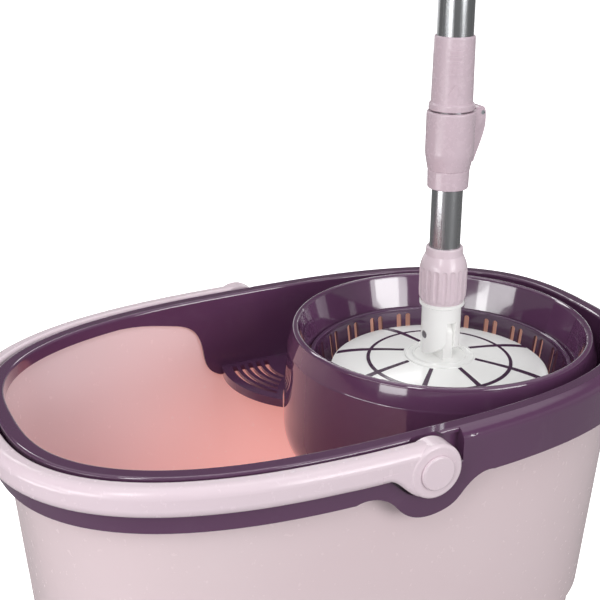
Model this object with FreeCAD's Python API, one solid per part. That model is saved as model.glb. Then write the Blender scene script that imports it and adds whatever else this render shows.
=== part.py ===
import FreeCAD, Part
import math
import os

from FreeCAD import Vector

# Spin mop: an oval bucket with a built-in spin basket, and a hand-press mop parked in the basket.
# Millimetres. +Z up, Z = 0 is the floor, X runs along the bucket, the front is -Y, the basket is at +X.

Z_AXIS = Vector(0, 0, 1)
Y_AXIS = Vector(0, 1, 0)
X_AXIS = Vector(1, 0, 0)

# Bucket plan: a superellipse, given at the outer edge of the lip
LIP_HALF_LENGTH = 228.0
LIP_HALF_WIDTH = 138.0
OVAL_POWER = 2.67
LIP_TOP = 290.0
TUB_DRAFT = 0.0665
TUB_TOP = 287.2
TUB_WALL = 2.4
TUB_TOP_OFFSET = -4.6
FOOT_TOP = 84.0
FOOT_STEP = 3.6
FLOOR_TOP = 7.0

# Rim band: lip, skirt and inner apron, as offsets from the lip's outer edge
LIP_WIDTH = 10.0
SKIRT_BOTTOM = 257.0
SKIRT_FACE = -2.0
LEDGE_TOP = 269.6
LOBE_BOTTOM = 236.6
APRON_BOTTOM = 225.0
BULGE = 5.5
BULGE_START_X = 22.0

# Bail
PIVOT_X = -3.0
PIVOT_Z = 272.5
BAIL_INNER = 2.0
BAIL_THICK = 12.5
BAIL_BOTTOM = 271.0
BAIL_HEIGHT = 19.0
BAIL_DISC_R = 18.0
BAIL_DISC_Y = (140.0, 153.2)
BAIL_RECESS_R = 19.8
BUTTON_R = 11.3
PIN_END_Y = 153.5
PIVOT_PIN_R = 5.0
RUNNING_FIT = 0.06

# Basket housing and spin basket
BOWL_X = 98.5
BOWL_TOP = 292.0
BOWL_WALL = 2.4
HOUSING_FLOOR = 188.0
SHOULDER_Z = 276.0
BASKET_TOP = 267.0
BASKET_TOP_R = 96.0
BASKET_FLOOR = 203.0
BASKET_FLOOR_R = 87.0
BASKET_WALL = 2.2
SLOT_PAIRS = 24
SLOT_WIDTH = 4.0
SLOT_HALF_ANGLE = 2.35
SLOT_Z = (217.0, 260.5)
SPINDLE_R = 4.0

# Mop head
PLATE_R = 81.0
PLATE_RIM_Z = 252.5
PLATE_CROWN_Z = 267.5
RIB_RING_R = 53.0
RIB_COUNT = 8
TILT_Z = 286.0
HUB_R = 14.4
TONGUE_WIDTH = 8.0
TONGUE_R = 10.5
TILT_PIN_R = 3.0

# Mop handle
HUB_TOP = 308.3
COLLAR_BOTTOM = 311.5
COLLAR_TOP = 353.0
COLLAR_R = 17.3
LOWER_TUBE_R = 11.0
LOWER_TUBE_Z = (320.0, 802.0)
UPPER_TUBE_R = 12.5
UPPER_TUBE_Z = (424.5, 1052.0)
TUBE_WALL = 0.9
CLAMP_Z = (396.6, 451.0)
CLAMP_R = 17.0
SLEEVE_Z = (452.0, 502.0)
SLEEVE_R = 14.3
MARK_TURN = -27.0
LEVER_PIN = (21.0, 449.0)
LEVER_HEAD_R = 4.1
LEVER_PIN_R = 1.6
LEVER_WIDTH = 9.6
TWIST_LEAD = 100.0
TWIST_STRIP = (9.0, 2.4)
TWIST_Z = (470.0, 868.0)
NUT_Z = (784.0, 802.0)
GRIP_Z = (925.0, 1046.0)
CAP_TOP = 1086.0


def oval_points(offset, z):
    """Points round the bucket plan, grown outwards by offset."""
    half_length = LIP_HALF_LENGTH + offset
    half_width = LIP_HALF_WIDTH + offset
    points = []
    for step in range(40):
        angle = math.radians(9.0 * step)
        c = math.cos(angle)
        s = math.sin(angle)
        x = math.copysign(abs(c) ** (2 / OVAL_POWER), c)
        y = math.copysign(abs(s) ** (2 / OVAL_POWER), s)
        points.append(Vector(half_length * x, half_width * y, z))
    return points


def oval_wire(offset, z):
    """Closed wire of the bucket plan at one height."""
    curve = Part.BSplineCurve()
    curve.interpolate(oval_points(offset, z), PeriodicFlag=True)
    return Part.Wire([curve.toShape()])


def oval_solid(levels):
    """Solid through ovals, each given as (offset, height)."""
    return Part.makeLoft([oval_wire(offset, z) for offset, z in levels], True, True)


def profile_wire(start, steps, place):
    """Closed wire of lines, arcs and smooth curves in a plane.

    A step is a point, ("arc", middle, end) or ("curve", [points])."""
    edges = []
    here = start
    for step in steps + [start]:
        if step[0] == "arc":
            edges.append(Part.Arc(place(here), place(step[1]), place(step[2])).toShape())
            here = step[2]
        elif step[0] == "curve":
            curve = Part.BSplineCurve()
            curve.interpolate([place(here)] + [place(p) for p in step[1]])
            edges.append(curve.toShape())
            here = step[1][-1]
        elif place(step).distanceToPoint(place(here)) > 1e-6:
            edges.append(Part.makeLine(place(here), place(step)))
            here = step
    return Part.Wire(edges)


def turned(start, steps, x=BOWL_X):
    """Solid of revolution about the vertical axis at x, from (radius, height) steps."""
    wire = profile_wire(start, steps, lambda p: Vector(x + p[0], 0, p[1]))
    return Part.Face(wire).revolve(Vector(x, 0, 0), Z_AXIS, 360)


def tube(outer, inner, low, high, x=BOWL_X):
    """Plain upright tube."""
    base = Vector(x, 0, low)
    return Part.makeCylinder(outer, high - low, base).cut(Part.makeCylinder(inner, high - low, base))


def rod(radius, low, high, x=BOWL_X):
    """Plain upright cylinder."""
    return Part.makeCylinder(radius, high - low, Vector(x, 0, low))


def box(x, y, z):
    """Box from three (low, high) pairs."""
    return Part.makeBox(x[1] - x[0], y[1] - y[0], z[1] - z[0], Vector(x[0], y[0], z[0]))


def swept_round(start, steps):
    """Sweep a section, given as (offset, height) steps, round the bucket plan."""
    maker = Part.BRepOffsetAPI.MakePipeShell(oval_wire(0, 0))
    maker.setBiNormalMode(Z_AXIS)
    maker.add(profile_wire(start, steps, lambda p: Vector(LIP_HALF_LENGTH + p[0], 0, p[1])))
    maker.build()
    maker.makeSolid()
    return maker.shape()


def prism_y(start, steps, low=-200.0, high=200.0):
    """Solid with an (x, z) outline, extruded along Y."""
    wire = profile_wire(start, steps, lambda p: Vector(p[0], low, p[1]))
    return Part.Face(wire).extrude(Vector(0, high - low, 0))


def polar(shape, count, x=BOWL_X):
    """Copies of a shape, evenly spaced about the vertical axis at x."""
    copies = []
    for index in range(count):
        copy = shape.copy()
        copy.rotate(Vector(x, 0, 0), Z_AXIS, 360.0 * index / count)
        copies.append(copy)
    return copies


def largest(shape):
    """The biggest solid of a shape."""
    return max(shape.Solids, key=lambda solid: solid.Volume)


def about_pivot(points):
    """Points given from the bail's pivot, as (x, z)."""
    return [(PIVOT_X + x, PIVOT_Z + z) for x, z in points]


def save(name, shapes):
    """Write one node, as one solid or a group of solids."""
    solids = []
    for shape in shapes if isinstance(shapes, list) else [shapes]:
        solids += shape.Solids
    result = solids[0] if len(solids) == 1 else Part.makeCompound(solids)
    result.exportStep(f"parts/{name}.step")
    size = result.BoundBox
    print(f"{name:16s} {len(solids)} solids, {result.Volume / 1000:.2f} cm3, valid {result.isValid()}, "
          f"x {size.XMin:.1f} {size.XMax:.1f}, y {size.YMin:.1f} {size.YMax:.1f}, "
          f"z {size.ZMin:.1f} {size.ZMax:.1f}")


def tub_offset(z):
    """Offset of the tub's outer wall at a height."""
    return TUB_TOP_OFFSET - (TUB_TOP - z) * TUB_DRAFT


def bucket_body():
    """Drafted oval tub with a stepped foot."""
    outer = oval_solid([
        (tub_offset(0) - FOOT_STEP - 4.0, 0.0),
        (tub_offset(4) - FOOT_STEP - 1.2, 1.6),
        (tub_offset(6) - FOOT_STEP, 6.0),
        (tub_offset(FOOT_TOP) - FOOT_STEP, FOOT_TOP),
        (tub_offset(FOOT_TOP + 6), FOOT_TOP + 6),
        (tub_offset(TUB_TOP), TUB_TOP),
    ])
    cavity = oval_solid([
        (tub_offset(FLOOR_TOP) - FOOT_STEP - TUB_WALL - 4.0, FLOOR_TOP),
        (tub_offset(FLOOR_TOP + 4) - FOOT_STEP - TUB_WALL, FLOOR_TOP + 4),
        (tub_offset(FOOT_TOP) - FOOT_STEP - TUB_WALL, FOOT_TOP),
        (tub_offset(FOOT_TOP + 6) - TUB_WALL, FOOT_TOP + 6),
        (tub_offset(TUB_TOP) - TUB_WALL, TUB_TOP + 0.01),
    ])
    under = oval_solid([(tub_offset(0) - FOOT_STEP - 16.0, -0.01), (tub_offset(0) - FOOT_STEP - 16.0, 4.4)])
    pad = rod(24.0, -0.01, 4.4, 0)
    return outer.cut(cavity).cut(under.cut(pad))


def bail_room(radius, drop):
    """Upright opening for the bail's disc and its curved web, seen along Y."""
    disc = Part.makeCylinder(radius, 400, Vector(PIVOT_X, -200, PIVOT_Z), Y_AXIS)
    curve = about_pivot([(-30, -0.4 - drop), (-22.5, -6.5 - drop), (-14, -14.4 - drop), (-6, -17.4 - drop)])
    start, end = about_pivot([(-40, 3), (-6, 3)])
    return disc.fuse(prism_y(start, [("curve", curve), end]))


def skirt_trim():
    """Everything below the skirt's lower edge, which dips in a lobe under the pivot."""
    lobe = about_pivot([
        (-34, -15.2), (-26, -19.4), (-17, -29.0), (-8, -34.4), (1, -35.9),
        (10, -35.0), (20, -31.2), (29, -22.6), (37, -17.0), (50, -15.5),
    ])
    outline = [(-300, SKIRT_BOTTOM), (-52, SKIRT_BOTTOM), ("curve", lobe), (300, SKIRT_BOTTOM), (300, 200)]
    return prism_y((-300, 200), outline).cut(oval_solid([(-6, 190), (-6, 272)]))


def apron_trim():
    """Everything below the inner apron's lower edge, which drops towards the drain shelf."""
    edge = [(-95, 279.5), (-68, 274), (-50, 267), (-42, 252), (-37, 231.5), (-30, 226), (-22, 224)]
    outline = [(-300, 281.0), (-110, 281.0), ("curve", edge), (-22, 200)]
    return prism_y((-300, 200), outline).common(oval_solid([(-6, 190), (-6, 286)]))


def rim_band():
    """Lip, recessed channel for the bail, outer skirt with its pivot lobes, and inner apron."""
    band = swept_round(
        (-LIP_WIDTH - 0.4, 280.0),
        [
            (-LIP_WIDTH, 288.4),
            ("arc", (-LIP_WIDTH + 0.47, 289.53), (-LIP_WIDTH + 1.6, LIP_TOP)),
            (-1.6, LIP_TOP),
            ("arc", (-0.47, 289.53), (0.0, 288.4)),
            (0.0, 286.8),
            (SKIRT_FACE, 285.6),
            (SKIRT_FACE, LEDGE_TOP),
            (BULGE - 1, LEDGE_TOP),
            ("arc", (BULGE - 0.3, LEDGE_TOP - 0.3), (BULGE, LEDGE_TOP - 1)),
            (BULGE, LOBE_BOTTOM - 2),
            (BULGE - 2, LOBE_BOTTOM - 2),
            (BULGE - 2, LEDGE_TOP - 2),
            (SKIRT_FACE - 2, LEDGE_TOP - 2),
            (SKIRT_FACE - 2, 287.5),
            (-8.5, 287.5),
            (-8.5, 280.0),
            (-12.6, APRON_BOTTOM),
            (-14.7, APRON_BOTTOM),
        ],
    )
    bulge = swept_round(
        (-3.0, 287.8),
        [
            (-1.8, 289.9),
            ("arc", (3.1, 287.6), (BULGE, 281.0)),
            (BULGE, LEDGE_TOP - 2),
            (BULGE - 2, LEDGE_TOP - 2),
            (BULGE - 2, 281.0),
            ("arc", (1.6, 285.6), (-2.0, 287.6)),
        ],
    )
    filling = swept_round(
        (SKIRT_FACE - 1, LOBE_BOTTOM),
        [(SKIRT_FACE - 1, 288.6), (-1.0, 288.6), (BULGE - 2, 284.6), (BULGE - 1, 281.0),
         (BULGE - 1, LOBE_BOTTOM)],
    )
    beyond = box((BULGE_START_X, 300), (-200, 200), (200, 300))
    step = box((BULGE_START_X, BULGE_START_X + 2.2), (-200, 200), (LEDGE_TOP - 2, 300))
    below_ledge = box((-60, 60), (-200, 200), (200, LEDGE_TOP))
    rim_of_room = bail_room(BAIL_RECESS_R + 2, 3.8).common(below_ledge)
    band = band.fuse([bulge.common(beyond), filling.common(step), filling.common(rim_of_room)])
    room = bail_room(BAIL_RECESS_R, 1.8).cut(oval_solid([(SKIRT_FACE, 190), (SKIRT_FACE, 300)]))
    band = band.cut([room, skirt_trim(), apron_trim()])
    for side in (-1, 1):
        start = Vector(PIVOT_X, side * 128, PIVOT_Z)
        band = band.cut(Part.makeCylinder(PIVOT_PIN_R, 20, start, Y_AXIS * side))
    return largest(band)


def bail_handle():
    """Carrying handle, lying down round the left end."""
    middle = BAIL_INNER + BAIL_THICK / 2
    points = [p for p in oval_points(middle, 0) if p.x < PIVOT_X - 10]
    ends = [Vector(PIVOT_X, side * (LIP_HALF_WIDTH + middle), 0) for side in (1, -1)]
    points = [ends[0]] + points + [ends[1]]
    curve = Part.BSplineCurve()
    curve.interpolate(points, InitialTangent=Vector(-1, 0, 0), FinalTangent=Vector(1, 0, 0))
    half_thick = BAIL_THICK / 2
    low = BAIL_BOTTOM
    high = BAIL_BOTTOM + BAIL_HEIGHT
    at = LIP_HALF_WIDTH + middle
    section = profile_wire(
        (-half_thick, low + 3),
        [
            (-half_thick, high - 3),
            ("arc", (-half_thick + 0.88, high - 0.88), (-half_thick + 3, high)),
            (half_thick - 6, high),
            ("arc", (half_thick - 1.76, high - 1.76), (half_thick, high - 6)),
            (half_thick, low + 6),
            ("arc", (half_thick - 1.76, low + 1.76), (half_thick - 6, low)),
            (-half_thick + 3, low),
            ("arc", (-half_thick + 0.88, low + 0.88), (-half_thick, low + 3)),
        ],
        lambda p: Vector(PIVOT_X, at + p[0], p[1]),
    )
    maker = Part.BRepOffsetAPI.MakePipeShell(Part.Wire([curve.toShape()]))
    maker.setBiNormalMode(Z_AXIS)
    maker.add(section)
    maker.build()
    maker.makeSolid()
    bail = maker.shape()
    face = BAIL_INNER + BAIL_THICK + LIP_HALF_WIDTH
    web_curve = about_pivot([(-28.4, -0.9), (-21, -7.1), (-13, -14.0), (-6, -16.6)])
    web_start, web_end, web_top = about_pivot([(-37, 0.6), (-6, 6), (-37, 6)])
    for side in (-1, 1):
        start = Vector(PIVOT_X, side * BAIL_DISC_Y[0], PIVOT_Z)
        disc = Part.makeCylinder(BAIL_DISC_R, BAIL_DISC_Y[1] - BAIL_DISC_Y[0], start, Y_AXIS * side)
        disc = disc.makeFillet(2.2, far_edges(disc, BAIL_DISC_Y[1]))
        low_y, high_y = sorted((side * BAIL_DISC_Y[0], side * face))
        web = prism_y(web_start, [("curve", web_curve), web_end, web_top], low_y, high_y)
        curved = [e for e in far_edges(web, face) if e.Curve.TypeId == "Part::GeomBSplineCurve"]
        bail = bail.fuse([disc, web.makeFillet(3.0, curved)])
    for side in (-1, 1):
        start = Vector(PIVOT_X, side * (BAIL_DISC_Y[0] - 1), PIVOT_Z)
        bail = bail.cut(Part.makeCylinder(PIVOT_PIN_R + RUNNING_FIT, 40, start, Y_AXIS * side))
    return bail


def far_edges(shape, y):
    """Edges that lie in the plane at distance y from the middle, on either side."""
    return [e for e in shape.Edges if abs(abs(e.BoundBox.YMin) - y) < 0.01 and e.BoundBox.YLength < 0.01]


def bail_pins():
    """Stub pins through the lobes, with a round head inside."""
    pins = []
    head_y = 133.1
    head_thick = 0.85
    for side in (-1, 1):
        start = Vector(PIVOT_X, side * head_y, PIVOT_Z)
        head = Part.makeCylinder(8.0, head_thick, start, Y_AXIS * side)
        shank = Part.makeCylinder(PIVOT_PIN_R, PIN_END_Y - head_y, start, Y_AXIS * side)
        pins.append(shank.fuse(head))
    return pins


def bail_caps():
    """Round buttons that cover the pins."""
    caps = []
    thick = 1.9
    for side in (-1, 1):
        cap = Part.makeCylinder(BUTTON_R, thick, Vector(PIVOT_X, side * PIN_END_Y, PIVOT_Z), Y_AXIS * side)
        caps.append(cap.makeFillet(1.2, far_edges(cap, PIN_END_Y + thick)))
    return caps


def basket_housing(band):
    """Bowl that hangs from the rim band and carries the spindle, with a crease below its ring."""
    shell = turned(
        (107.4, BOWL_TOP),
        [
            ("arc", (109.2, 291.3), (110.0, 289.5)),
            (113.4, SHOULDER_Z + 0.8),
            ("arc", (113.7, SHOULDER_Z), (113.8, SHOULDER_Z - 0.8)),
            ("curve", [(114.9, 258.0), (116.0, 240.0), (116.6, 226.0), (116.4, 210.0), (111.5, 197.0),
                       (98.0, HOUSING_FLOOR)]),
            (14.0, HOUSING_FLOOR),
            (14.0, HOUSING_FLOOR + BOWL_WALL),
            (97.2, HOUSING_FLOOR + BOWL_WALL),
            ("curve", [(109.5, 198.8), (114.0, 211.0), (114.2, 226.0), (113.4, 240.0), (112.3, 258.0),
                       (111.2, SHOULDER_Z - 2)]),
            (107.8, 287.0),
            (105.9, 287.0),
            (99.4, 262.0),
            (97.4, 262.0),
            (97.4, 264.0),
            (105.0, 289.8),
            ("arc", (105.9, 291.4), (107.4, BOWL_TOP)),
        ],
    )
    boss = turned(
        (SPINDLE_R, HOUSING_FLOOR - 6),
        [(11.0, HOUSING_FLOOR - 6), (14.5, HOUSING_FLOOR), (14.5, HOUSING_FLOOR + BOWL_WALL),
         (10.0, HOUSING_FLOOR + 6), (SPINDLE_R, HOUSING_FLOOR + 6)],
    )
    drain = tube(88.0, 30.0, HOUSING_FLOOR - 1, HOUSING_FLOOR + 4)
    window = drain.common(box((BOWL_X, BOWL_X + 100), (-9, 9), (180, 200)))
    housing = shell.fuse(boss)
    for cut in polar(window, 8):
        housing = housing.cut(cut)
    return largest(housing.removeSplitter().cut(band))


def splash_ring(housing):
    """Upright ring between the basket and the housing, standing on the housing's floor."""
    ring = turned(
        (101.6, HOUSING_FLOOR + 1),
        [(101.6, 258.0), ("arc", (102.4, 258.8), (103.2, 258.0)), (103.2, HOUSING_FLOOR + 1)],
    )
    return largest(ring.cut(housing))


def drain_shelf(band):
    """Web between the housing and the apron, with a slotted grille on each side."""
    low = 229.4
    high = 232.0
    arc_x = 45.0
    arc_y = 100.0
    edge_r = 75.0
    clear_r = 117.0
    web = oval_solid([(-11.5, low), (-11.5, high)]).cut(rod(clear_r, low - 1, high + 1)).cut(band)
    left = box((-260, arc_x), (-200, 200), (200, 260))
    field = oval_solid([(-20, low - 1), (-20, high + 1)]).cut(rod(clear_r + 5, low - 1, high + 1))
    shelves = []
    for side in (-1, 1):
        half = box((-260, 200), (0, 200) if side > 0 else (-200, 0), (200, 260))
        centre = Vector(arc_x, side * arc_y, low - 4)
        disc = Part.makeCylinder(edge_r, 60, centre)
        lip = Part.makeCylinder(edge_r, 6, centre).cut(Part.makeCylinder(edge_r - 2.2, 6, centre))
        lip = lip.common(half).common(left).common(oval_solid([(-15.5, low - 5), (-15.5, high)]))
        shelf = largest(web.common(half.cut(left).fuse(half.common(disc))))
        shelf = shelf.fuse(largest(lip.cut(rod(clear_r, low - 6, high + 1))))
        for index in range(5):
            radius = 67.0 - 6.6 * index
            groove = tube(radius, radius - 3.4, low - 1, high + 1, arc_x)
            groove.translate(Vector(0, side * arc_y, 0))
            shelf = shelf.cut(groove.common(field).common(left))
        shelves.append(largest(shelf))
    return shelves


def spindle_parts():
    """Fixed spindle, its nut below the housing and the thrust washer above it."""
    spindle = rod(SPINDLE_R, HOUSING_FLOOR - 12, 226.0).fuse(rod(3.0, 226.0, 228.0))
    corners = []
    for index in range(7):
        angle = math.radians(60 * index)
        corners.append(Vector(BOWL_X + 7.5 * math.cos(angle), 7.5 * math.sin(angle), HOUSING_FLOOR - 11))
    nut = Part.Face(Part.makePolygon(corners)).extrude(Vector(0, 0, 5)).cut(rod(SPINDLE_R, 170, 190))
    washer = tube(9.0, SPINDLE_R + RUNNING_FIT, HOUSING_FLOOR + 6, HOUSING_FLOOR + 7.6)
    return spindle, nut, washer


def spin_basket():
    """Slotted basket with a centre tower over the spindle."""
    floor_low = BASKET_FLOOR
    floor_high = BASKET_FLOOR + BASKET_WALL
    shell = turned(
        (BASKET_TOP_R - 2.6, BASKET_TOP - 3.2),
        [
            (BASKET_TOP_R - 2.6, BASKET_TOP - 1.2),
            ("arc", (BASKET_TOP_R - 2.2, BASKET_TOP - 0.4), (BASKET_TOP_R - 1.4, BASKET_TOP)),
            (BASKET_TOP_R, BASKET_TOP),
            ("arc", (BASKET_TOP_R + 0.7, BASKET_TOP - 0.4), (BASKET_TOP_R + 1, BASKET_TOP - 1.4)),
            (BASKET_TOP_R + 0.6, BASKET_TOP - 3.2),
            (BASKET_TOP_R - 0.6, BASKET_TOP - 4.0),
            (BASKET_FLOOR_R + 1, BASKET_FLOOR + 9),
            ("arc", (BASKET_FLOOR_R - 1.6, BASKET_FLOOR + 2.6), (BASKET_FLOOR_R - 8, floor_low)),
            (13.5, floor_low),
            (13.5, floor_low - 5),
            (6.0, floor_low - 5),
            (6.0, 224.0),
            (10.5, 224.0),
            (13.5, floor_high + 3),
            (17.0, floor_high),
            (BASKET_FLOOR_R - 8.4, floor_high),
            ("arc", (BASKET_FLOOR_R - 3.4, BASKET_FLOOR + 4.4), (BASKET_FLOOR_R - 1.2, BASKET_FLOOR + 9)),
        ],
    )
    slot = box((BOWL_X + 70, BOWL_X + 110), (-SLOT_WIDTH / 2, SLOT_WIDTH / 2), SLOT_Z)
    for z in SLOT_Z:
        end = Part.makeCylinder(SLOT_WIDTH / 2, 40, Vector(BOWL_X + 70, 0, z), X_AXIS)
        slot = slot.fuse(end)
    slots = []
    for shift in (-SLOT_HALF_ANGLE, SLOT_HALF_ANGLE):
        one = slot.copy()
        one.rotate(Vector(BOWL_X, 0, 0), Z_AXIS, shift)
        slots += polar(one, SLOT_PAIRS)
    drains = []
    for radius, count in ((32.0, 12), (50.0, 16), (67.0, 24)):
        hole = Part.makeCylinder(3.0, 10, Vector(BOWL_X + radius, 0, floor_low - 4))
        drains += polar(hole, count)
    return shell.cut(Part.makeCompound(slots)).cut(Part.makeCompound(drains))


def basket_fittings():
    """Bearing bush pressed into the tower, and the cap over the spindle's end."""
    bush = tube(6.0, SPINDLE_R + RUNNING_FIT, BASKET_FLOOR - 5, 224.0)
    cap = turned(
        (0, 230.6),
        [(7.0, 230.6), ("arc", (9.6, 229.6), (10.5, 227.0)), (10.5, 224.0), (5.2, 224.0), (5.2, 228.4),
         (0, 228.4)],
    )
    return bush, cap


def mop_plate():
    """Domed plate with its rings and the tongue of the tilt joint."""
    crown = PLATE_CROWN_Z
    dome = turned(
        (0, crown),
        [
            (17.5, crown),
            ("curve", [(30, crown - 1.0), (55, crown - 4.4), (74, crown - 8.6),
                       (PLATE_R - 1.2, crown - 10.4)]),
            ("arc", (PLATE_R - 0.3, crown - 10.9), (PLATE_R, crown - 11.8)),
            (PLATE_R, PLATE_RIM_Z),
            (PLATE_R - 2.4, PLATE_RIM_Z),
            (PLATE_R - 2.4, crown - 12.8),
            ("curve", [(72, crown - 10.8), (54, crown - 7.0), (30, crown - 3.6), (18, crown - 3)]),
            (18, 254.0),
            (15.5, 254.0),
            (15.5, crown - 3),
            (0, crown - 3),
        ],
    )
    rings = turned(
        (18.6, crown - 1.5),
        [(18.6, crown + 1.0), (19.8, crown + 1.0), (20.6, crown - 0.2), (24.0, crown - 0.6),
         (24.4, crown + 0.2), (25.4, crown + 0.2), (26.4, crown - 1.6)],
    )
    half = TONGUE_WIDTH / 2
    block = box((BOWL_X - half, BOWL_X + half), (-TONGUE_R, TONGUE_R), (crown - 1, TILT_Z))
    round_top = Part.makeCylinder(TONGUE_R, TONGUE_WIDTH, Vector(BOWL_X - half, 0, TILT_Z), X_AXIS)
    plate = dome.fuse([rings, block, round_top])
    pin_hole = Part.makeCylinder(TILT_PIN_R, TONGUE_WIDTH + 2, Vector(BOWL_X - half - 1, 0, TILT_Z), X_AXIS)
    return plate.cut(pin_hole).cut(plate_ribs()).removeSplitter()


def rib_field(low, high):
    """Upright prisms of the plate's ribs: a ring, and straight spokes that widen towards the rim."""
    narrow = 1.3
    wide = 2.6
    corners = [(24, -narrow), (82, -wide), (82, wide), (24, narrow), (24, -narrow)]
    outline = Part.makePolygon([Vector(BOWL_X + x, y, low) for x, y in corners])
    spoke = Part.Face(outline).extrude(Vector(0, 0, high - low))
    ring = tube(RIB_RING_R + narrow, RIB_RING_R - narrow, low, high)
    return ring.fuse(polar(spoke, RIB_COUNT))


def plate_ribs():
    """Dark ribs let into the plate, standing a little proud of it."""
    crown = PLATE_CROWN_Z
    skin = turned(
        (27.0, crown - 0.2),
        [
            ("curve", [(30, crown - 0.6), (55, crown - 4.0), (74, crown - 8.2), (79.4, crown - 9.9)]),
            (79.4, crown - 11.6),
            ("curve", [(74, crown - 9.9), (55, crown - 5.7), (30, crown - 2.2), (27.0, crown - 1.9)]),
        ],
    )
    return skin.common(rib_field(crown - 30, crown + 20))


def refill_parts():
    """Clip ring of the refill, and the closed solid of its microfibre strands."""
    ring = turned(
        (26.0, 246.6),
        [(26.0, 249.4), (60.0, 249.4), (62.0, 250.6), (76.0, 250.6), (76.0, 247.8), (62.0, 246.6)],
    )
    strands = turned(
        (28.0, 246.2),
        [
            (62.0, 246.2),
            (77.0, 247.4),
            ("arc", (82.6, 243.6), (83.0, 237.0)),
            (79.0, 222.0),
            ("arc", (72.0, 214.0), (60.0, 209.0)),
            (34.0, 209.0),
            ("arc", (25.6, 213.0), (22.5, 221.0)),
            (22.5, 238.0),
        ],
    )
    return ring, strands


def tilt_hub():
    """Knuckle over the tongue, with the socket that takes the lower tube."""
    body = rod(HUB_R, TILT_Z, HUB_TOP)
    knuckle = Part.makeCylinder(HUB_R, 2 * HUB_R, Vector(BOWL_X - HUB_R, 0, TILT_Z), X_AXIS)
    body = body.fuse(knuckle.common(rod(HUB_R, TILT_Z - HUB_R - 1, HUB_TOP)))
    flange = turned(
        (0, HUB_TOP - 0.5),
        [(HUB_R, HUB_TOP - 0.5), (16.4, HUB_TOP + 0.6), (16.4, COLLAR_BOTTOM - 0.2),
         (13.2, COLLAR_BOTTOM - 0.2), (13.2, 344.0), (0, 344.0)],
    )
    body = body.fuse(flange)
    body = body.cut(rod(LOWER_TUBE_R, LOWER_TUBE_Z[0], 345.0))
    gap = TONGUE_WIDTH / 2 + 0.3
    slot_top = TILT_Z + TONGUE_R + 0.8
    body = body.cut(box((BOWL_X - gap, BOWL_X + gap), (-20, 20), (TILT_Z - 30, slot_top)))
    start = Vector(BOWL_X - HUB_R - 2, 0, TILT_Z)
    bore = Part.makeCylinder(TILT_PIN_R + RUNNING_FIT, 2 * HUB_R + 4, start, X_AXIS)
    return body.cut(bore).removeSplitter()


def tilt_pin():
    """Cross pin of the tilt joint."""
    half = HUB_R - 0.3
    return Part.makeCylinder(TILT_PIN_R, 2 * half, Vector(BOWL_X - half, 0, TILT_Z), X_AXIS)


def collar_nut():
    """Fluted collar that locks the tube in the hub."""
    nut = turned(
        (13.2 + RUNNING_FIT, COLLAR_BOTTOM),
        [
            (15.6, COLLAR_BOTTOM),
            (COLLAR_R - 0.3, COLLAR_BOTTOM + 3.6),
            (COLLAR_R, COLLAR_BOTTOM + 9),
            (COLLAR_R, 334.0),
            ("arc", (COLLAR_R - 1.2, 341.5), (13.6, 347.0)),
            (13.2, 351.6),
            ("arc", (13.0, 352.5), (12.2, COLLAR_TOP)),
            (LOWER_TUBE_R + 0.25, COLLAR_TOP),
            (LOWER_TUBE_R + 0.25, 346.0),
            (13.2 + RUNNING_FIT, 344.6),
        ],
    )
    flute_r = 2.3
    at = Vector(BOWL_X + COLLAR_R + 1.2, 0, COLLAR_BOTTOM - 1)
    flute = Part.makeCylinder(flute_r, 26.0, at)
    tip = Part.makeSphere(flute_r, at + Vector(0, 0, 26.0))
    return nut.cut(Part.makeCompound(polar(flute.fuse(tip), 18)))


def twisted_bar(width, thick, low, high, phase_z):
    """Flat bar twisted with the drive's lead; its width lies along X at phase_z."""
    turns = (high - low) / TWIST_LEAD
    steps = max(2, int(math.ceil(turns * 24)))
    wires = []
    for step in range(steps + 1):
        z = low + (high - low) * step / steps
        angle = 2 * math.pi * (z - phase_z) / TWIST_LEAD
        c = math.cos(angle)
        s = math.sin(angle)
        corners = []
        for u, v in ((-0.5, -0.5), (0.5, -0.5), (0.5, 0.5), (-0.5, 0.5), (-0.5, -0.5)):
            x = u * width
            y = v * thick
            corners.append(Vector(BOWL_X + x * c - y * s, x * s + y * c, z))
        wires.append(Part.makePolygon(corners))
    return Part.makeLoft(wires, True, False)


def drive_parts():
    """Twisted bar, the nut it turns in the lower tube, and its holder in the upper tube."""
    bar = twisted_bar(TWIST_STRIP[0], TWIST_STRIP[1], TWIST_Z[0], TWIST_Z[1], NUT_Z[0])
    inner = LOWER_TUBE_R - TUBE_WALL
    nut = turned((0, NUT_Z[0]), [(inner, NUT_Z[0]), (inner, NUT_Z[1]), (LOWER_TUBE_R, NUT_Z[1]),
                                 (LOWER_TUBE_R, NUT_Z[1] + 2), (0, NUT_Z[1] + 2)])
    channel = twisted_bar(TWIST_STRIP[0] + 0.9, TWIST_STRIP[1] + 0.9, NUT_Z[0] - 2, NUT_Z[1] + 4, NUT_Z[0])
    nut = nut.cut(channel)
    bore = UPPER_TUBE_R - TUBE_WALL
    holder = turned((0, TWIST_Z[1] - 14), [(bore - 2, TWIST_Z[1] - 14), (bore, TWIST_Z[1] - 12),
                                           (bore, TWIST_Z[1] + 8), (0, TWIST_Z[1] + 8)])
    return bar, nut, holder.cut(bar)


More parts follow.
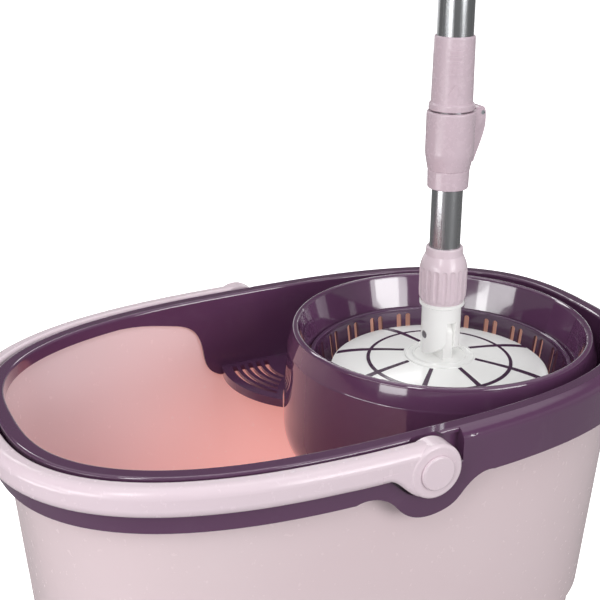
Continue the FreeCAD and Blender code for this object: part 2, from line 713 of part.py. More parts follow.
def clamp_parts():
    """Clamp body on the end of the upper tube, its sliding liner, pressure pad and pin."""
    low, high = CLAMP_Z
    liner_r = LOWER_TUBE_R + 0.9
    body = turned(
        (liner_r + RUNNING_FIT, low),
        [
            (13.4, low),
            ("arc", (14.1, low + 0.3), (14.4, low + 1.2)),
            (14.7, low + 12.6),
            (14.4, low + 13.2),
            (14.9, low + 13.8),
            ("curve", [(15.5, low + 17), (16.5, low + 22), (CLAMP_R, low + 28)]),
            (CLAMP_R, high - 1.5),
            ("arc", (CLAMP_R - 0.4, high - 0.4), (CLAMP_R - 1.5, high)),
            (UPPER_TUBE_R, high),
            (UPPER_TUBE_R, UPPER_TUBE_Z[0]),
            (liner_r + RUNNING_FIT, UPPER_TUBE_Z[0]),
        ],
    )
    x, z = LEVER_PIN
    pin_x = BOWL_X + x
    ear_half = LEVER_WIDTH / 2 + 3.2
    ears = prism_y(
        (BOWL_X + 12, z - 12),
        [(BOWL_X + 12, high), (pin_x - 1.5, high), ("arc", (pin_x + 1.4, z + 1.4), (pin_x + 2.0, z)),
         (pin_x + 1.6, z - 4), (BOWL_X + 16, z - 12)],
        -ear_half,
        ear_half,
    )
    ears = ears.cut(rod(UPPER_TUBE_R + 1.2, z - 20, z + 20))
    body = body.fuse(ears)
    gap = LEVER_WIDTH / 2 + 0.3
    body = body.cut(box((BOWL_X + 14.2, BOWL_X + 40), (-gap, gap), (z - 38, z + 12)))
    body = body.cut(Part.makeCylinder(LEVER_PIN_R, 40, Vector(pin_x, -20, z), Y_AXIS))
    liner = tube(liner_r, LOWER_TUBE_R + RUNNING_FIT, low + 0.5, UPPER_TUBE_Z[0] - 0.5)
    window = box((BOWL_X + 12.0, BOWL_X + 15.2), (-4.4, 4.4), (z - 9, z - 2))
    body = body.cut(window)
    pad = window.cut(rod(UPPER_TUBE_R, z - 20, z + 20))
    pin = Part.makeCylinder(LEVER_PIN_R, 2 * ear_half, Vector(pin_x, -ear_half, z), Y_AXIS)
    return body.removeSplitter(), liner, pad, pin


def cam_lever():
    """Flip lever of the length clamp, closed against the clamp body."""
    x, z = LEVER_PIN
    half = LEVER_WIDTH / 2
    pin_x = BOWL_X + x
    head = LEVER_HEAD_R
    lever = prism_y(
        (pin_x - head, z),
        [
            ("arc", (pin_x - head * 0.6, z + head * 0.8), (pin_x + head * 0.3, z + head * 0.954)),
            ("curve", [(pin_x + 3.6, z + 2.2), (pin_x + 4.7, z - 3), (pin_x + 4.7, z - 9),
                       (pin_x + 2.9, z - 17), (pin_x - 1.2, z - 28), (pin_x - 3.6, z - 34.4)]),
            ("arc", (pin_x - 4.2, z - 34.9), (pin_x - 4.6, z - 34.2)),
            ("curve", [(pin_x - 4.3, z - 26), (pin_x - 3.6, z - 16), (pin_x - 3.9, z - 10.4),
                       (pin_x - 5.6, z - 7)]),
            ("arc", (pin_x - 5.68, z - 5.4), (pin_x - 5.3, z - 4.2)),
            (pin_x - 4.0, z - 2.4),
        ],
        -half,
        half,
    )
    return lever.cut(Part.makeCylinder(LEVER_PIN_R + RUNNING_FIT, 40, Vector(pin_x, -20, z), Y_AXIS))


def lock_sleeve():
    """Turning sleeve that locks the press drive, with raised grip bars."""
    low, high = SLEEVE_Z
    sleeve = turned(
        (UPPER_TUBE_R + RUNNING_FIT, low),
        [
            (SLEEVE_R + 0.8, low),
            ("arc", (SLEEVE_R + 1.3, low + 0.3), (SLEEVE_R + 1.5, low + 1)),
            (SLEEVE_R + 1.5, low + 3.6),
            ("arc", (SLEEVE_R + 1.1, low + 4.4), (SLEEVE_R + 0.2, low + 5)),
            (SLEEVE_R - 0.4, high - 1.2),
            ("arc", (SLEEVE_R - 0.7, high - 0.4), (SLEEVE_R - 1.4, high)),
            (UPPER_TUBE_R + RUNNING_FIT, high),
        ],
    )
    marks = []
    for index in range(5):
        rise = low + 24 + 4 * index
        marks.append(box((BOWL_X - 5, BOWL_X + 5), (-SLEEVE_R - 1, -SLEEVE_R + 1.6), (rise, rise + 1.8)))
    corners = ((-4.4, 12), (4.4, 12), (0, 19), (-4.4, 12))
    arrow = [Vector(BOWL_X + x, -SLEEVE_R - 1, low + z) for x, z in corners]
    marks.append(Part.Face(Part.makePolygon(arrow)).extrude(Vector(0, 3, 0)))
    shell = turned(
        (UPPER_TUBE_R + 1, low + 10),
        [(SLEEVE_R + 0.65, low + 10), (SLEEVE_R + 0.3, high - 6), (UPPER_TUBE_R + 1, high - 6)],
    )
    marks = [mark.common(shell) for mark in marks]
    for mark in marks:
        mark.rotate(Vector(BOWL_X, 0, 0), Z_AXIS, MARK_TURN)
    return sleeve.fuse(marks)


def handle_top():
    """Grip and its end cap with the hanging hole."""
    low, high = GRIP_Z
    grip = turned(
        (UPPER_TUBE_R, low),
        [
            (14.2, low),
            ("arc", (15.3, low + 0.5), (15.8, low + 1.8)),
            (15.8, low + 7),
            (14.9, low + 9),
            ("curve", [(15.4, low + 30), (16.6, low + 62), (16.0, low + 95), (15.2, high - 8)]),
            (16.0, high - 6),
            (16.0, high),
            (UPPER_TUBE_R, high),
        ],
    )
    groove = turned((15.2, low + 30), [(20, low + 30), (20, low + 32.4), (15.2, low + 32.4)])
    grooves = []
    for index in range(8):
        copy = groove.copy()
        copy.translate(Vector(0, 0, 8.0 * index))
        grooves.append(copy)
    grip = grip.cut(Part.makeCompound(grooves))
    inner = UPPER_TUBE_R - TUBE_WALL
    cap = turned(
        (0, high - 24),
        [
            (inner - 1, high - 24),
            (inner, high - 22),
            (inner, UPPER_TUBE_Z[1]),
            (UPPER_TUBE_R, UPPER_TUBE_Z[1]),
            (UPPER_TUBE_R, high),
            (16.0, high),
            (16.0, high + 5),
            ("arc", (15.1, high + 9.5), (12.0, high + 13.0)),
            (0, high + 13.0),
        ],
    )
    half = 7.0
    tab = prism_y(
        (BOWL_X - 12.5, high + 7),
        [
            (BOWL_X - 12.5, CAP_TOP - 12.5),
            ("arc", (BOWL_X, CAP_TOP), (BOWL_X + 12.5, CAP_TOP - 12.5)),
            (BOWL_X + 12.5, high + 7),
        ],
        -half,
        half,
    )
    front = [e for e in tab.Edges if e.BoundBox.YLength < 0.01 and e.BoundBox.ZMin > high + 10]
    tab = tab.makeFillet(1.5, front)
    eye_low = CAP_TOP - 19
    eye_high = CAP_TOP - 13
    eye = Part.makeCylinder(5.5, 60, Vector(BOWL_X, -30, eye_low), Y_AXIS)
    eye = eye.fuse(Part.makeCylinder(5.5, 60, Vector(BOWL_X, -30, eye_high), Y_AXIS))
    eye = eye.fuse(box((BOWL_X - 5.5, BOWL_X + 5.5), (-30, 30), (eye_low, eye_high)))
    return grip, cap.fuse(tab).cut(eye)


def main():
    os.makedirs("parts", exist_ok=True)
    save("bucket_body", bucket_body())
    band = rim_band()
    housing = basket_housing(band)
    save("rim_band", band)
    save("basket_housing", housing)
    save("splash_ring", splash_ring(housing))
    save("drain_shelf", drain_shelf(band))
    spindle, spindle_nut, washer = spindle_parts()
    save("spindle", spindle)
    save("spindle_nut", spindle_nut)
    save("thrust_washer", washer)
    save("bail_handle", bail_handle())
    save("bail_pins", bail_pins())
    save("bail_caps", bail_caps())
    save("spin_basket", spin_basket())
    bush, basket_cap = basket_fittings()
    save("basket_bush", bush)
    save("basket_cap", basket_cap)
    save("mop_plate", mop_plate())
    save("plate_ribs", plate_ribs())
    ring, strands = refill_parts()
    save("refill_ring", ring)
    save("strands", strands)
    save("tilt_pin", tilt_pin())
    save("tilt_hub", tilt_hub())
    save("collar_nut", collar_nut())
    save("lower_tube", tube(LOWER_TUBE_R, LOWER_TUBE_R - TUBE_WALL, *LOWER_TUBE_Z))
    bar, nut, holder = drive_parts()
    save("twist_bar", bar)
    save("drive_nut", nut)
    save("bar_holder", holder)
    clamp, liner, pad, pin = clamp_parts()
    save("clamp_body", clamp)
    save("slide_liner", liner)
    save("clamp_pad", pad)
    save("lever_pin", pin)
    save("cam_lever", cam_lever())
    save("lock_sleeve", lock_sleeve())
    save("upper_tube", tube(UPPER_TUBE_R, UPPER_TUBE_R - TUBE_WALL, *UPPER_TUBE_Z))
    grip, cap = handle_top()
    save("hand_grip", grip)
    save("end_cap", cap)


main()
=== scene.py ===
"""Looks of a spin mop set: oval bucket, spin basket and a hand-press mop parked in it."""
import logging
import math
import random
from dataclasses import dataclass, field
from enum import Enum

import bpy
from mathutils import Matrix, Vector


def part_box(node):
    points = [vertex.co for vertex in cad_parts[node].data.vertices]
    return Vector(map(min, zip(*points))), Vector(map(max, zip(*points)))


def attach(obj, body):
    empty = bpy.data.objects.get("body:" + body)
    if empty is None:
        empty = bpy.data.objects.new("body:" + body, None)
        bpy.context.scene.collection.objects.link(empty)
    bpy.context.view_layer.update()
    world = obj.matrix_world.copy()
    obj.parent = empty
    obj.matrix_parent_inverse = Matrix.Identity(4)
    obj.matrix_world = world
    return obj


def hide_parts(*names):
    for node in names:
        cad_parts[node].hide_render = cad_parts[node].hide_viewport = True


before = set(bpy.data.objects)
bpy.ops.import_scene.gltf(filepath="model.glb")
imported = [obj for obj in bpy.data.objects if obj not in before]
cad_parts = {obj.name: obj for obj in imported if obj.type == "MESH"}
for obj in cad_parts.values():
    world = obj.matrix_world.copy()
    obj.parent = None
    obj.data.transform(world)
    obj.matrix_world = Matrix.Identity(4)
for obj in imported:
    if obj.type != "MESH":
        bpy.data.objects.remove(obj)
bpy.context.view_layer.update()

LOG = logging.getLogger("spin_mop")
Point = tuple[float, float, float]

# The tub is this much longer than wide, squared, so that its walls face out along a scaled radius
TUB_STRETCH = 2.7
# Where the painted glow, which stands in for light through the tub's wall, starts and is full, along the
# tub and down from its lip, in metres
GLOW_ALONG = (-0.21, 0.02)
GLOW_DOWN = (0.29, 0.12)
GLOW_AT_LIP = 0.55
# Pale haze that handling rubs into a surface, and the colour of the painted glow that stands in for warm
# light through pink plastic
HAZE_COLOUR = "E6DEE2"
PAINTED_WARM_GLOW = "FFAF9F"


def linear(hex_colour: str, alpha: float = 1.0) -> tuple[float, float, float, float]:
    """Turn an sRGB hex colour into linear values.

    Args:
        hex_colour: Six hex digits, with or without a leading hash sign.
        alpha: Opacity of the returned colour.

    Returns:
        Linear red, green and blue, and the opacity.
    """
    digits = hex_colour.lstrip("#")
    out = []
    for start in (0, 2, 4):
        value = int(digits[start:start + 2], 16) / 255
        out.append(value / 12.92 if value <= 0.04045 else ((value + 0.055) / 1.055) ** 2.4)
    return (out[0], out[1], out[2], alpha)


def add_node(tree: bpy.types.NodeTree, kind: str, settings: dict | None = None,
             links: dict | None = None) -> bpy.types.Node:
    """Add a node with its settings and its incoming links.

    Args:
        tree: Node tree that takes the node.
        kind: Blender's name of the node type.
        settings: Node properties, or input sockets by name or index, and their values.
        links: Input socket by name or index, to the output socket that feeds it.

    Returns:
        The new node.
    """
    node = tree.nodes.new(kind)
    for key, value in (settings or {}).items():
        if isinstance(key, str) and hasattr(node, key):
            setattr(node, key, value)
        else:
            node.inputs[key].default_value = value
    for key, socket in (links or {}).items():
        tree.links.new(socket, node.inputs[key])
    return node


class Grain(Enum):
    """How the surface of a finish was made, with the stretch of its grain along Z."""

    POLISHED_MOULD = 1.0
    SATIN_MOULD = 0.9
    DRAWN_TUBE = 0.02
    ZINC_PLATE = 0.6
    TWISTED_YARN = 0.8


@dataclass(frozen=True)
class Finish:
    """One finish of the set, made as a procedural material. Sizes are in millimetres.

    The shade is the slow colour shift of a large moulding, and the scuffs are the faint hazy
    patches that handling leaves on it."""

    name: str
    colour: str
    shade: str
    grain: Grain
    roughness: float
    roughness_spread: float = 0.06
    metallic: float = 0.0
    ior: float = 1.5
    coat: float = 0.0
    # Emission strength: a painted glow, so the part shines though it is no lamp
    glow: float = 0.0
    sheen: float = 0.0
    pattern_mm: float = 1.2
    bump_mm: float = 0.02
    scuff: float = 0.05
    # Strength of a painted warm glow on the inner face, standing in for light through the wall
    painted_inside_glow: float = 0.0

    def build(self) -> bpy.types.Material:
        """Build the material.

        Returns:
            The finished material.
        """
        material = bpy.data.materials.new(self.name)
        material.use_nodes = True
        tree = material.node_tree
        tree.nodes.clear()
        place = add_node(tree, "ShaderNodeTexCoord").outputs["Object"]
        mapped = add_node(tree, "ShaderNodeMapping", {"Scale": (1.0, 1.0, self.grain.value)},
                          {"Vector": place}).outputs["Vector"]
        swirl = add_node(tree, "ShaderNodeTexNoise", {"Scale": 9.0, "Detail": 2.0}, {"Vector": place})
        grain = add_node(tree, "ShaderNodeTexNoise",
                         {"Scale": 1000.0 / self.pattern_mm / 3, "Detail": 4.0, "Roughness": 0.6},
                         {"Vector": mapped})
        haze = add_node(tree, "ShaderNodeTexNoise", {"Scale": 38.0, "Detail": 6.0, "Roughness": 0.62,
                                                    "Distortion": 0.6}, {"Vector": place})
        scuffed = add_node(tree, "ShaderNodeMapRange",
                           {"From Min": 0.56, "From Max": 0.78, "To Min": 0.0, "To Max": self.scuff},
                           {"Value": haze.outputs["Fac"]}).outputs["Result"]
        tint = add_node(tree, "ShaderNodeMix",
                        {"data_type": "RGBA", 6: linear(self.colour), 7: linear(self.shade)},
                        {0: swirl.outputs["Fac"]}).outputs[2]
        rubbed = add_node(tree, "ShaderNodeMix", {"data_type": "RGBA", 7: linear(HAZE_COLOUR)},
                          {0: scuffed, 6: tint}).outputs[2]
        fine = add_node(tree, "ShaderNodeMapRange",
                        {"From Min": 0.3, "From Max": 0.7, "To Min": self.roughness - self.roughness_spread,
                         "To Max": self.roughness + self.roughness_spread},
                        {"Value": grain.outputs["Fac"]}).outputs["Result"]
        rough = add_node(tree, "ShaderNodeMath", {"operation": "ADD"}, {0: fine, 1: scuffed}).outputs[0]
        bump = add_node(tree, "ShaderNodeBump", {"Strength": 0.6, "Distance": self.bump_mm / 1000},
                        {"Height": grain.outputs["Fac"]}).outputs["Normal"]
        # Emission from the glow setting is painted light, not a lamp
        settings = {"Metallic": self.metallic, "Coat Weight": self.coat, "Coat Roughness": 0.03,
                    "Emission Strength": self.glow, "Emission Color": linear(self.colour),
                    "Sheen Weight": self.sheen}
        if self.metallic == 0.0:
            settings["IOR"] = self.ior
        links = {"Base Color": rubbed, "Roughness": rough, "Normal": bump}
        # Painted light: the inner face glows warm, emission standing in for light coming through the wall
        if self.painted_inside_glow > 0.0:
            settings["Emission Color"] = linear(PAINTED_WARM_GLOW)
            links["Emission Strength"] = self.painted_wall_glow(tree, place)
        shader = add_node(tree, "ShaderNodeBsdfPrincipled", settings, links)
        add_node(tree, "ShaderNodeOutputMaterial", {}, {"Surface": shader.outputs["BSDF"]})
        return material

    def painted_wall_glow(self, tree: bpy.types.NodeTree, place: bpy.types.NodeSocket) -> bpy.types.NodeSocket:
        """Paint a glow that stands in for light coming through a thin wall, on its inner face only.

        It grows towards the basket and the floor, where less light falls in from above. It is painted
        light, made as emission in the material.

        Args:
            tree: Node tree of the material.
            place: Object coordinates.

        Returns:
            The strength of the painted glow.
        """
        normal = add_node(tree, "ShaderNodeTexCoord").outputs["Normal"]
        stretch = {"operation": "MULTIPLY", 1: (1.0, TUB_STRETCH, 0.0)}
        outward = add_node(tree, "ShaderNodeVectorMath", stretch, {0: place}).outputs["Vector"]
        away = add_node(tree, "ShaderNodeVectorMath", {"operation": "DOT_PRODUCT"},
                        {0: normal, 1: outward}).outputs["Value"]
        inner = add_node(tree, "ShaderNodeMapRange", {"From Min": 0.0, "From Max": -0.03}, {"Value": away})
        spots = add_node(tree, "ShaderNodeSeparateXYZ", {}, {"Vector": place})
        along = add_node(tree, "ShaderNodeMapRange",
                         {"interpolation_type": "SMOOTHSTEP",
                          "From Min": GLOW_ALONG[0], "From Max": GLOW_ALONG[1],
                          "To Min": 0.0, "To Max": self.painted_inside_glow}, {"Value": spots.outputs["X"]})
        down = add_node(tree, "ShaderNodeMapRange",
                        {"interpolation_type": "SMOOTHSTEP",
                         "From Min": GLOW_DOWN[0], "From Max": GLOW_DOWN[1],
                         "To Min": GLOW_AT_LIP, "To Max": 1.0}, {"Value": spots.outputs["Z"]})
        both = add_node(tree, "ShaderNodeMath", {"operation": "MULTIPLY"},
                        {0: along.outputs["Result"], 1: down.outputs["Result"]}).outputs[0]
        return add_node(tree, "ShaderNodeMath", {"operation": "MULTIPLY"},
                        {0: both, 1: inner.outputs["Result"]}).outputs[0]


# Milky thin-walled polypropylene: light sinks in, so edges and the inside look warmer; the warm inside is a
# painted glow on the inner face, emission standing in for light through the wall
BUCKET_PP = Finish("translucent_pink_polypropylene", "EBD9DD", "E7D1D6", Grain.SATIN_MOULD, 0.25, 0.03,
                   ior=1.49, pattern_mm=1.6, bump_mm=0.0015, scuff=0.006, painted_inside_glow=0.42)
# Pink polypropylene with a painted peach glow: emission that stands in for light coming through from behind
# into the well
PAINTED_GLOW_PP = Finish("peach_polypropylene_painted_glow", "F0B7A4", "EBA795", Grain.SATIN_MOULD, 0.3,
                 ior=1.49, glow=0.3, pattern_mm=1.6, bump_mm=0.012)
# ABS from a mirror-polished mould: near black in shadow, with sharp window-like reflections
PLUM_ABS = Finish("polished_plum_abs", "643F60", "573654", Grain.POLISHED_MOULD, 0.09, 0.02,
                  ior=1.53, coat=1.0, pattern_mm=2.5, bump_mm=0.0015, scuff=0.012)
# Polypropylene basket: the same plum, a little softer in its reflections than the ABS around it
BASKET_PP = Finish("moulded_plum_polypropylene", "5C3A5C", "4F304E", Grain.SATIN_MOULD, 0.18, 0.05,
                   ior=1.49, coat=0.8, pattern_mm=1.8, bump_mm=0.003, scuff=0.012)
# Moulded ABS of the handle's fittings: an even dusty lilac with broad, soft highlights
LILAC_ABS = Finish("lilac_abs", "DAC6D0", "D0BAC5", Grain.SATIN_MOULD, 0.26, 0.05,
                   ior=1.53, coat=0.15, pattern_mm=1.4, bump_mm=0.002, scuff=0.01)
# Pale pink polypropylene: lighter than the tub, with one long soft highlight along the bail
BAIL_PP = Finish("pale_pink_polypropylene", "EBDAE2", "E3CFD9", Grain.SATIN_MOULD, 0.24, 0.05,
                 ior=1.49, coat=0.15, pattern_mm=1.4, bump_mm=0.002, scuff=0.008)
# White ABS: clean and glossy, with a faint painted glow, emission that stands in for light through its thin
# dome
WHITE_ABS_PAINTED_GLOW = Finish("white_abs_painted_glow", "F6F6F5", "F0F0EE", Grain.POLISHED_MOULD, 0.22, 0.05,
                   ior=1.53, coat=0.15, pattern_mm=1.6, bump_mm=0.002, scuff=0.01, glow=0.12)
# Second-shot ABS in the plate: thin dark lines, duller than the polished plum
INLAY_ABS = Finish("plum_inlay_abs", "4A2A48", "3E2140", Grain.POLISHED_MOULD, 0.2, 0.05,
                   ior=1.53, coat=0.2, pattern_mm=1.6, bump_mm=0.008, scuff=0.02)
# Unpigmented acetal of the bearings: waxy off-white with a dull sheen
ACETAL = Finish("natural_acetal", "EEEBE2", "E6E2D6", Grain.SATIN_MOULD, 0.38, 0.05, ior=1.48)
# Drawn tube: the fine lines run along it and stretch each highlight into an upright band
ALUMINIUM = Finish("anodised_aluminium_tube", "BCBDBF", "AEAFB2", Grain.DRAWN_TUBE, 0.24, 0.06,
                   metallic=1.0, pattern_mm=0.6, bump_mm=0.004, scuff=0.03)
# Polyester microfibre yarn: a dull white nap with fine fluffy lumps and a soft sheen
MICROFIBRE = Finish("microfibre_yarn", "F1F1F4", "E2E3EA", Grain.TWISTED_YARN, 0.85, 0.08,
                    sheen=0.6, pattern_mm=0.8, bump_mm=0.5)
# Zinc-plated steel: a grey metal with cloudy patches of brighter and duller plate
ZINC = Finish("zinc_plated_steel", "B9BCC0", "A9ADB3", Grain.ZINC_PLATE, 0.3, 0.1, metallic=1.0,
              pattern_mm=2.0, bump_mm=0.01)


@dataclass
class Dresser:
    """Gives the carried-over nodes their finishes."""

    finishes: dict[str, Finish] = field(default_factory=lambda: {
        "bucket_body": BUCKET_PP, "rim_band": PLUM_ABS, "basket_housing": PLUM_ABS, "drain_shelf": PLUM_ABS,
        # The splash ring carries a painted peach glow
        "splash_ring": PAINTED_GLOW_PP,
        "spindle": ZINC, "spindle_nut": ZINC, "thrust_washer": ACETAL, "bail_pins": WHITE_ABS_PAINTED_GLOW,
        "bail_caps": BAIL_PP, "bail_handle": BAIL_PP, "spin_basket": BASKET_PP, "basket_bush": ACETAL,
        "basket_cap": BASKET_PP, "mop_plate": WHITE_ABS_PAINTED_GLOW, "plate_ribs": INLAY_ABS, "refill_ring": WHITE_ABS_PAINTED_GLOW,
        "tilt_pin": ZINC, "tilt_hub": WHITE_ABS_PAINTED_GLOW, "lower_tube": ALUMINIUM, "drive_nut": ACETAL,
        "collar_nut": BAIL_PP, "slide_liner": ACETAL, "upper_tube": ALUMINIUM, "clamp_body": LILAC_ABS,
        "clamp_pad": ACETAL, "lever_pin": ZINC, "twist_bar": ZINC, "bar_holder": ACETAL,
        "hand_grip": LILAC_ABS, "end_cap": LILAC_ABS, "cam_lever": LILAC_ABS, "lock_sleeve": LILAC_ABS,
    })
    built: dict[str, bpy.types.Material] = field(default_factory=dict)

    def material(self, finish: Finish) -> bpy.types.Material:
        """Build a finish once, and give it back after that."""
        if finish.name not in self.built:
            self.built[finish.name] = finish.build()
        return self.built[finish.name]

    def dress(self) -> None:
        """Put each finish on its nodes."""
        for node, finish in self.finishes.items():
            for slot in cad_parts[node].material_slots:
                slot.material = self.material(finish)
            LOG.info("%s: %s", node, finish.name)


@dataclass
class MicrofibreHead:
    """Looped microfibre yarns under the mop plate, hanging from its refill ring. Sizes are in metres."""

    dresser: Dresser
    yarn_radius: float = 0.0026
    yarn_sides: int = 6
    side_gap: float = 0.0035
    rings: tuple[tuple[float, int, float], ...] = (
        (0.052, 44, 0.36), (0.058, 52, 0.60), (0.064, 60, 0.82), (0.068, 66, 1.0))
    shape_steps: int = 7
    inner_tuck: float = 0.012
    sway: float = 0.010
    end_taper: float = 0.6
    curl_turns: float = 1.15
    reach_pace: float = 0.8
    fall_pace: float = 0.87
    crowding: float = 0.3
    seed: int = 7

    def build(self) -> bpy.types.Object:
        """Build the head from a few shapes of yarn, copied round the plate.

        Returns:
            The finished ring of yarns, one object.
        """
        low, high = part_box("strands")
        centre = Vector(((low[0] + high[0]) / 2, (low[1] + high[1]) / 2, 0.0))
        outer = (high[0] - low[0]) / 2 - self.side_gap
        top, bottom = high[2], low[2] + self.side_gap
        chance = random.Random(self.seed)
        yarns = []
        for root, count, reach in self.rings:
            low_point = bottom + (1.0 - reach) * self.inner_tuck
            pattern = self.yarn(root, root + (outer - root) * reach, top, low_point)
            for index in range(count):
                yarn = pattern.copy()
                yarn.data = pattern.data.copy()
                bpy.context.collection.objects.link(yarn)
                turn = 2 * math.pi * (index + chance.uniform(-self.crowding, self.crowding)) / count
                yarn.rotation_euler = (0.0, 0.0, turn)
                yarn.scale = (1.0, chance.choice((-1.0, 1.0)), 1.0)
                yarn.location = centre
                yarns.append(yarn)
            bpy.data.objects.remove(pattern)
        return self.joined(yarns)

    def yarn(self, root: float, reach: float, top: float, bottom: float) -> bpy.types.Object:
        """Model one yarn: out from its root, over and down, and back under with its end curling aside.

        Args:
            root: Distance of its sewn end from the plate's axis.
            reach: Greatest distance that it reaches from the axis.
            top: Height of its root.
            bottom: Height of its lowest point.

        Returns:
            The yarn, along +X from the axis.
        """
        bpy.ops.object.select_all(action="DESELECT")
        bpy.ops.mesh.primitive_circle_add(vertices=self.yarn_sides, radius=self.yarn_radius,
                                          fill_type="NGON", location=(root, 0.0, top),
                                          rotation=(math.pi, 0.0, 0.0))
        yarn = bpy.context.object
        yarn.name = "yarn_pattern"
        bpy.ops.object.transform_apply(location=True, rotation=True, scale=True)
        bpy.ops.object.mode_set(mode="EDIT")
        bpy.ops.mesh.select_all(action="SELECT")
        fall = top - bottom
        at = Vector((root, 0.0, top))
        for step in range(1, self.shape_steps + 1):
            share = step / self.shape_steps
            angle = math.pi * self.curl_turns * share
            out = math.sin(min(angle, math.pi * self.reach_pace) * self.reach_pace)
            down = (1 - math.cos(angle * self.fall_pace)) / 2
            goal = Vector((root + (reach - root) * out, self.sway * share * share, top - fall * down))
            bpy.ops.mesh.extrude_region_move(TRANSFORM_OT_translate={"value": tuple(goal - at)})
            at = goal
        taper = (self.end_taper, self.end_taper, self.end_taper)
        bpy.ops.transform.resize(value=taper, center_override=tuple(at))
        bpy.ops.object.mode_set(mode="OBJECT")
        return yarn

    def joined(self, yarns: list[bpy.types.Object]) -> bpy.types.Object:
        """Join the yarns into one piece and give it its finish and its place.

        Args:
            yarns: The separate yarns.

        Returns:
            The joined piece.
        """
        bpy.ops.object.select_all(action="DESELECT")
        for yarn in yarns:
            yarn.select_set(True)
        bpy.context.view_layer.objects.active = yarns[0]
        bpy.ops.object.transform_apply(location=True, rotation=True, scale=True)
        bpy.ops.object.join()
        head = bpy.context.object
        head.name = "microfibre_yarns"
        bpy.ops.object.mode_set(mode="EDIT")
        bpy.ops.mesh.select_all(action="SELECT")
        bpy.ops.mesh.normals_make_consistent(inside=False)
        bpy.ops.object.mode_set(mode="OBJECT")
        bpy.ops.object.shade_smooth_by_angle(angle=math.radians(60))
        head.data.materials.append(self.dresser.material(MICROFIBRE))
        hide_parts("strands")
        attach(head, "mop_head")
        LOG.info("microfibre_yarns: %d yarns", len(yarns))
        return head


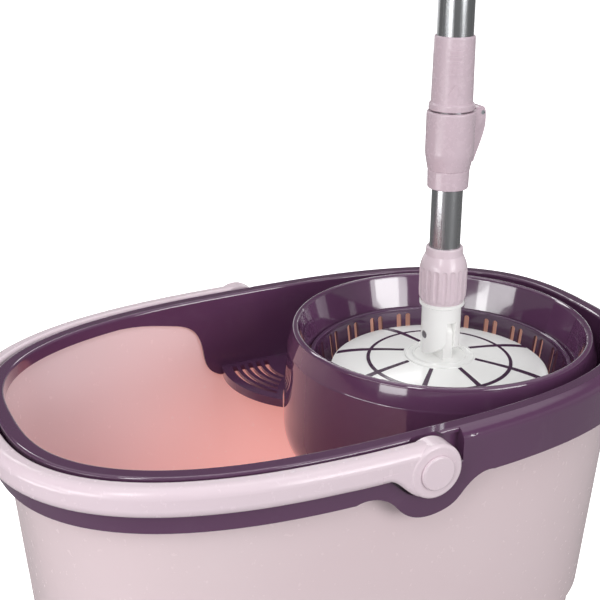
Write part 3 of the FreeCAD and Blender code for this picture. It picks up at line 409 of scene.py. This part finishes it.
@dataclass
class Studio:
    """Pale floor, soft light and the camera."""

    lens_mm: float = 67.4
    camera_at: Point = (-0.3375, -0.638, 0.6144)
    tilt_deg: float = 21.64
    turn_deg: float = -26.61
    aim_at: Point = (0.0, 0.0, 0.25)
    wall_level: float = 0.3
    gap_level: float = 0.12
    top_level: float = 0.7

    def build(self) -> None:
        """Build the floor, the lights and the camera."""
        bpy.ops.object.select_all(action="DESELECT")
        bpy.ops.mesh.primitive_plane_add(size=16.0, location=(0.0, 0.0, 0.0))
        floor = bpy.context.object
        floor.name = "studio_floor"
        floor.data.materials.append(self.paper())
        self.softbox("key_softbox", (-1.4, -1.2, 1.7), (0.4, 1.0), 10.0)
        self.softbox("fill_softbox", (0.7, -2.0, 1.0), (1.0, 1.3), 18.0)
        self.softbox("left_softbox", (-2.0, -1.0, 0.45), (0.8, 0.6), 8.0)
        self.softbox("back_softbox", (0.3, 1.9, 1.9), (2.2, 0.25), 9.0)
        self.softbox("top_softbox", (0.1, 0.1, 2.6), (1.6, 0.14), 6.0)
        self.softbox("low_front_strip", (0.36, -1.32, 0.53), (0.7, 0.13), 1.6)
        self.softbox("low_left_strip", (-1.22, -0.18, 0.53), (0.8, 0.12), 1.6)
        self.softbox("backdrop", (0.9, 2.7, 0.3), (5.0, 0.5), 8.0)
        self.softbox("floor_left_strip", (-0.98, -0.05, 0.1), (0.62, 0.12), 1.6)
        self.surround()
        camera_data = bpy.data.cameras.new("studio_camera")
        camera_data.lens = self.lens_mm
        camera_data.sensor_width = 36.0
        camera = bpy.data.objects.new("studio_camera", camera_data)
        camera.location = self.camera_at
        camera.rotation_euler = (math.radians(90 - self.tilt_deg), 0.0, math.radians(self.turn_deg))
        bpy.context.collection.objects.link(camera)
        bpy.context.scene.camera = camera
        bpy.context.scene.view_settings.view_transform = "Standard"

    def surround(self) -> None:
        """Make the surroundings: a pale wall low down, a darker gap above it and a lit top.

        They look plain white straight on, and these levels only light the object and show in its gloss.
        """
        world = bpy.data.worlds.new("pale_studio")
        bpy.context.scene.world = world
        world.use_nodes = True
        tree = world.node_tree
        tree.nodes.clear()
        up = add_node(tree, "ShaderNodeSeparateXYZ", {},
                      {"Vector": add_node(tree, "ShaderNodeTexCoord").outputs["Generated"]}).outputs["Z"]
        ramp = add_node(tree, "ShaderNodeValToRGB", {}, {"Fac": up})
        stops = ramp.color_ramp.elements
        stops[0].position, stops[1].position = 0.0, 0.26
        bands = ((0.34, self.gap_level), (0.62, self.gap_level), (0.74, self.top_level))
        for position, level in bands:
            stops.new(position).color = (level, level, level, 1.0)
        stops[0].color = stops[1].color = (self.wall_level, self.wall_level, self.wall_level, 1.0)
        seen = add_node(tree, "ShaderNodeLightPath").outputs["Is Camera Ray"]
        shown = add_node(tree, "ShaderNodeMix", {"data_type": "RGBA", 7: (1.0, 1.0, 1.0, 1.0)},
                         {0: seen, 6: ramp.outputs["Color"]}).outputs[2]
        glow = add_node(tree, "ShaderNodeBackground", {"Strength": 1.0}, {"Color": shown})
        add_node(tree, "ShaderNodeOutputWorld", {}, {"Surface": glow.outputs["Background"]})

    def paper(self) -> bpy.types.Material:
        """Make the white floor, which looks evenly white and is darker in bounced light and in gloss.

        Returns:
            The floor's material.
        """
        material = bpy.data.materials.new("white_paper_sweep")
        material.use_nodes = True
        tree = material.node_tree
        tree.nodes.clear()
        grain = add_node(tree, "ShaderNodeTexNoise", {"Scale": 60.0})
        rough = add_node(tree, "ShaderNodeMapRange", {"To Min": 0.55, "To Max": 0.7},
                         {"Value": grain.outputs["Fac"]})
        seen = add_node(tree, "ShaderNodeLightPath").outputs["Is Camera Ray"]
        glow = add_node(tree, "ShaderNodeMapRange", {"To Min": 0.1, "To Max": 0.95}, {"Value": seen})
        shades = {"data_type": "RGBA", 6: linear("707070"), 7: linear("E8E8E8")}
        tint = add_node(tree, "ShaderNodeMix", shades, {0: seen}).outputs[2]
        shader = add_node(tree, "ShaderNodeBsdfPrincipled",
                          {"Specular IOR Level": 0.2,
                           "Emission Color": (1.0, 1.0, 1.0, 1.0)},
                          {"Base Color": tint, "Roughness": rough.outputs["Result"],
                           "Emission Strength": glow.outputs["Result"]})
        add_node(tree, "ShaderNodeOutputMaterial", {}, {"Surface": shader.outputs["BSDF"]})
        return material

    def softbox(self, name: str, at: Point, size: tuple[float, float], watts: float) -> None:
        """Add a rectangular soft light that faces the object.

        Args:
            name: Name of the light.
            at: Its place in metres.
            size: Width and height in metres.
            watts: Its power.
        """
        data = bpy.data.lights.new(name, "AREA")
        data.shape = "RECTANGLE"
        data.size, data.size_y = size
        data.energy = watts
        light = bpy.data.objects.new(name, data)
        light.location = at
        light.visible_camera = False
        aim = Vector(self.aim_at) - Vector(at)
        light.rotation_euler = aim.to_track_quat("-Z", "Y").to_euler()
        bpy.context.collection.objects.link(light)


def main() -> None:
    """Build the scene in order."""
    logging.basicConfig(level=logging.INFO, format="%(message)s")
    Studio().build()
    dresser = Dresser()
    dresser.dress()
    MicrofibreHead(dresser).build()


if __name__ == "__main__":
    main()
